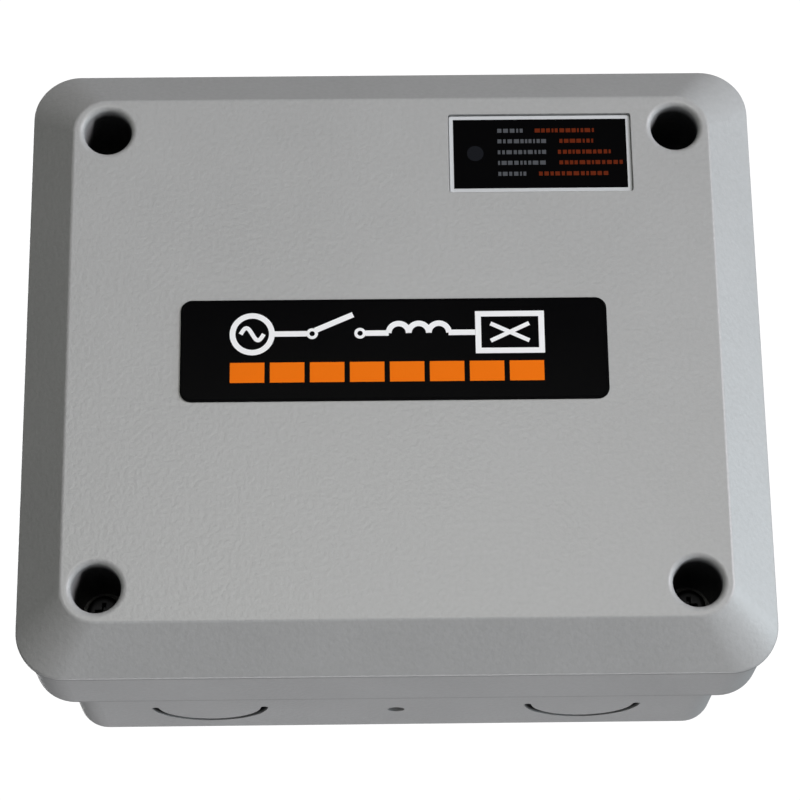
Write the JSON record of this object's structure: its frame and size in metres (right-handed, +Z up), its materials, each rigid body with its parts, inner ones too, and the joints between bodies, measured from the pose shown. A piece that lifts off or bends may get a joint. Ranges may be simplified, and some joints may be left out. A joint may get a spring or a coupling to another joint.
{
  "type": "load management transfer switch",
  "caption": "Wall-mounted load-shedding transfer switch: grey moulded box with a bevelled screwed cover, badge and status window, a contactor and a control board inside.",
  "frame": {"origin": "centre of the flat back face, on the wall plane, midway between the four wall holes", "axes": "+X right, +Z up, +Y into the wall; the cover faces -Y"},
  "size_m": [0.193, 0.0963, 0.168],
  "materials": {
    "enclosure_plastic": "light grey moulded polycarbonate, fine satin texture",
    "gasket_rubber": "black closed-cell rubber",
    "zinc_steel": "bright zinc plated",
    "core_steel": "laminated electrical steel, thin oil film",
    "insert_brass": "knurled brass",
    "badge_film": "printed black polycarbonate film",
    "window_lens": "dark smoked lens with printed legend",
    "clear_acrylic": "clear acrylic light guide",
    "contactor_plastic": "black glass-filled phenolic",
    "carrier_plastic": "red-brown phenolic",
    "bobbin_plastic": "natural nylon",
    "copper": "half-hard copper",
    "coil_tape": "yellow polyester tape over enamelled wire",
    "contact_silver": "silver alloy contact facing",
    "lug_aluminium": "tin plated aluminium",
    "tin_brass": "tinned brass",
    "spring_steel": "spring steel wire",
    "board_laminate": "green solder mask on glass laminate",
    "relay_plastic": "blue relay case",
    "capacitor_sleeve": "printed sleeve over aluminium can",
    "chip_epoxy": "moulded epoxy",
    "resistor_body": "lacquered film resistor",
    "fuse_glass": "clear glass tube",
    "terminal_plastic": "green nylon terminal block",
    "led_lens": "diffused red light-emitting diode",
    "button_plastic": "black push-button plastic",
    "dial_plastic": "white dial",
    "wire_insulation": "black wire insulation",
    "boot_vinyl": "red vinyl boots"
  },
  "bodies": {
    "base": {"enclosure_base": "enclosure_plastic", "cover_gasket": "gasket_rubber", "threaded_inserts": "insert_brass", "contactor_plate": "zinc_steel", "coil_housing": "contactor_plastic", "pole_housing": "contactor_plastic", "arc_cover": "contactor_plastic", "housing_screws": "zinc_steel", "plate_screws": "zinc_steel", "fixed_core": "core_steel", "coil_bobbin": "bobbin_plastic", "coil_winding": "coil_tape", "coil_terminals": "tin_brass", "fixed_tips": "contact_silver", "terminal_straps": "copper", "return_springs": "spring_steel", "wire_lugs": "lug_aluminium", "lug_screws": "zinc_steel", "circuit_board": "board_laminate", "board_screws": "zinc_steel", "transformer_core": "core_steel", "transformer_bobbin": "bobbin_plastic", "transformer_winding": "coil_tape", "board_relay": "relay_plastic", "capacitors": "capacitor_sleeve", "controller_chip": "chip_epoxy", "chip_leads": "tin_brass", "resistors": "resistor_body", "fuse_glass": "fuse_glass", "fuse_caps": "tin_brass", "fuse_clips": "tin_brass", "terminal_blocks": "terminal_plastic", "terminal_block_screws": "zinc_steel", "status_led": "led_lens", "test_button_body": "button_plastic", "priority_switch_body": "relay_plastic", "ground_bar": "lug_aluminium", "ground_clamp_screws": "zinc_steel", "ground_bar_screws": "zinc_steel", "wire_boots": "boot_vinyl", "coil_wires": "wire_insulation", "sense_wires": "wire_insulation"},
    "cover": {"front_cover": "enclosure_plastic", "front_badge": "badge_film", "status_window": "window_lens", "light_pipe": "clear_acrylic", "screw_seal_rings": "gasket_rubber"},
    "screw_upper_left": {"cover_screw_upper_left": "zinc_steel"},
    "screw_upper_right": {"cover_screw_upper_right": "zinc_steel"},
    "screw_lower_left": {"cover_screw_lower_left": "zinc_steel"},
    "screw_lower_right": {"cover_screw_lower_right": "zinc_steel"},
    "armature": {"contact_carrier": "carrier_plastic", "moving_core": "core_steel", "armature_pin": "zinc_steel", "contact_springs": "spring_steel"},
    "bridges": {"contact_bridges": "copper", "bridge_tips": "contact_silver"},
    "test_button": {"test_button_cap": "button_plastic"},
    "dial": {"priority_dial": "dial_plastic"}
  },
  "joints": [
    {"name": "cover_lift", "type": "slide", "parent": "base", "child": "cover", "axis": [0, -1, 0], "range_m": [0, 0.1]},
    {"name": "screw_upper_left_turn", "type": "hinge", "parent": "cover", "child": "screw_upper_left", "pos_m": [-0.0755, -0.07, 0.063], "axis": [0, -1, 0], "continuous": true},
    {"name": "screw_upper_right_turn", "type": "hinge", "parent": "cover", "child": "screw_upper_right", "pos_m": [0.0755, -0.07, 0.063], "axis": [0, -1, 0], "continuous": true},
    {"name": "screw_lower_left_turn", "type": "hinge", "parent": "cover", "child": "screw_lower_left", "pos_m": [-0.0755, -0.07, -0.063], "axis": [0, -1, 0], "continuous": true},
    {"name": "screw_lower_right_turn", "type": "hinge", "parent": "cover", "child": "screw_lower_right", "pos_m": [0.0755, -0.07, -0.063], "axis": [0, -1, 0], "continuous": true},
    {"name": "armature_travel", "type": "slide", "parent": "base", "child": "armature", "axis": [0, 1, 0], "range_m": [0, 0.00545], "stiffness_N_per_m": 700, "deforming": ["return_springs"]},
    {"name": "bridge_overtravel", "type": "slide", "parent": "armature", "child": "bridges", "axis": [0, -1, 0], "range_m": [0, 0.002], "deforming": ["contact_springs"]},
    {"name": "test_button_press", "type": "slide", "parent": "base", "child": "test_button", "axis": [0, 1, 0], "range_m": [0, 0.0005], "stiffness_N_per_m": 3000},
    {"name": "priority_dial_turn", "type": "hinge", "parent": "base", "child": "dial", "pos_m": [0.047, -0.052, 0.053], "axis": [0, -1, 0], "continuous": true}
  ],
  "couplings": [
    {"joint": "bridge_overtravel", "follows": "armature_travel", "ratio": 0.36}
  ]
}
